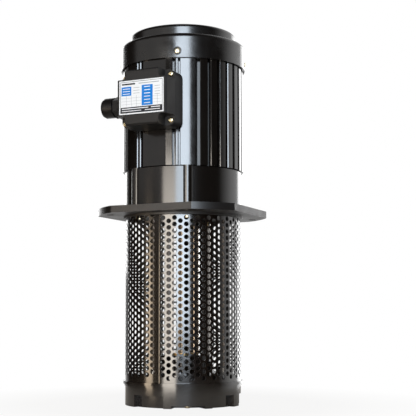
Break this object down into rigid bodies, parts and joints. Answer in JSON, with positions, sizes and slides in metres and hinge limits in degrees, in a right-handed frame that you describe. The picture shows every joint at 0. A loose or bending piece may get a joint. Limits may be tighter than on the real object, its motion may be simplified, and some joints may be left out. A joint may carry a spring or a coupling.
{
  "type": "coolant pump",
  "caption": "Immersion coolant pump with a fan-cooled motor, a square mounting flange, a side discharge port and a perforated strainer tube on a cast foot.",
  "frame": {"origin": "centre of the mounting flange's underside, on the shaft axis", "axes": "+Z along the shaft axis towards the motor, -Y towards the terminal box, +Y towards the discharge port"},
  "size_m": [0.174, 0.1964, 0.4386],
  "materials": {
    "black_casting": "satin black",
    "black_aluminium": "semi-gloss black paint",
    "black_sheet": "semi-gloss black paint",
    "bare_aluminium": "as cast",
    "zinc_steel": "yellow zinc plated",
    "fan_plastic": "moulded",
    "spring_steel": "phosphated",
    "bearing_steel": "ground",
    "core_steel": "stacked sheets",
    "copper": "varnished copper wire",
    "shaft_steel": "ground",
    "rubber": "matte",
    "strainer_sheet": "satin black perforated sheet",
    "foot_iron": "turned, black oxide",
    "bronze": "turned bronze",
    "pipe_steel": "oiled steel",
    "box_plastic": "grained black",
    "board_plastic": "moulded phenolic",
    "brass_studs": "turned brass",
    "label": "bare printed plate",
    "gland_nylon": "moulded nylon"
  },
  "bodies": {
    "pump_body": {"pump_head": "black_casting", "head_bolts": "zinc_steel", "motor_frame": "black_aluminium", "end_shield": "bare_aluminium", "end_shield_screws": "zinc_steel", "fan_cover": "black_sheet", "fan_cover_screws": "zinc_steel", "lower_bearing_outer": "bearing_steel", "upper_bearing_outer": "bearing_steel", "bearing_circlip": "spring_steel", "wave_spring": "spring_steel", "stator_core": "core_steel", "stator_windings": "copper", "lip_seal": "rubber", "strainer_tube": "strainer_sheet", "foot_casting": "foot_iron", "foot_screws": "zinc_steel", "volute_casing": "foot_iron", "guide_bush": "bronze", "wear_ring": "bronze", "riser_pipe": "pipe_steel", "riser_gaskets": "rubber", "tie_rods": "pipe_steel", "box_gasket": "rubber", "terminal_box_base": "box_plastic", "lid_gasket": "rubber", "terminal_box_lid": "box_plastic", "lid_screws": "zinc_steel", "box_screws": "zinc_steel", "lead_grommet": "rubber", "terminal_board": "board_plastic", "terminal_studs": "brass_studs", "earth_screw": "brass_studs", "label_plate": "label", "gland_body": "gland_nylon", "gland_dome_nut": "gland_nylon", "gland_seal": "rubber"},
    "rotor": {"motor_shaft": "shaft_steel", "rotor_core": "core_steel", "rotor_end_rings": "bare_aluminium", "cooling_fan": "fan_plastic", "fan_clip": "spring_steel", "lower_bearing_inner": "bearing_steel", "upper_bearing_inner": "bearing_steel", "slinger": "rubber", "impeller": "bronze", "impeller_key": "shaft_steel", "impeller_nut": "zinc_steel"},
    "lower_cage": {"lower_bearing_balls": "bearing_steel", "lower_bearing_cage": "spring_steel"},
    "upper_cage": {"upper_bearing_balls": "bearing_steel", "upper_bearing_cage": "spring_steel"}
  },
  "joints": [
    {"name": "rotor_spin", "type": "hinge", "parent": "pump_body", "child": "rotor", "pos_m": [0, 0, 0], "axis": [0, 0, 1], "continuous": true},
    {"name": "lower_cage_spin", "type": "hinge", "parent": "pump_body", "child": "lower_cage", "pos_m": [0, 0, 0.045], "axis": [0, 0, 1], "continuous": true},
    {"name": "upper_cage_spin", "type": "hinge", "parent": "pump_body", "child": "upper_cage", "pos_m": [0, 0, 0.1745], "axis": [0, 0, 1], "continuous": true}
  ],
  "couplings": [
    {"joint": "lower_cage_spin", "follows": "rotor_spin", "ratio": 0.3816},
    {"joint": "upper_cage_spin", "follows": "rotor_spin", "ratio": 0.381}
  ]
}
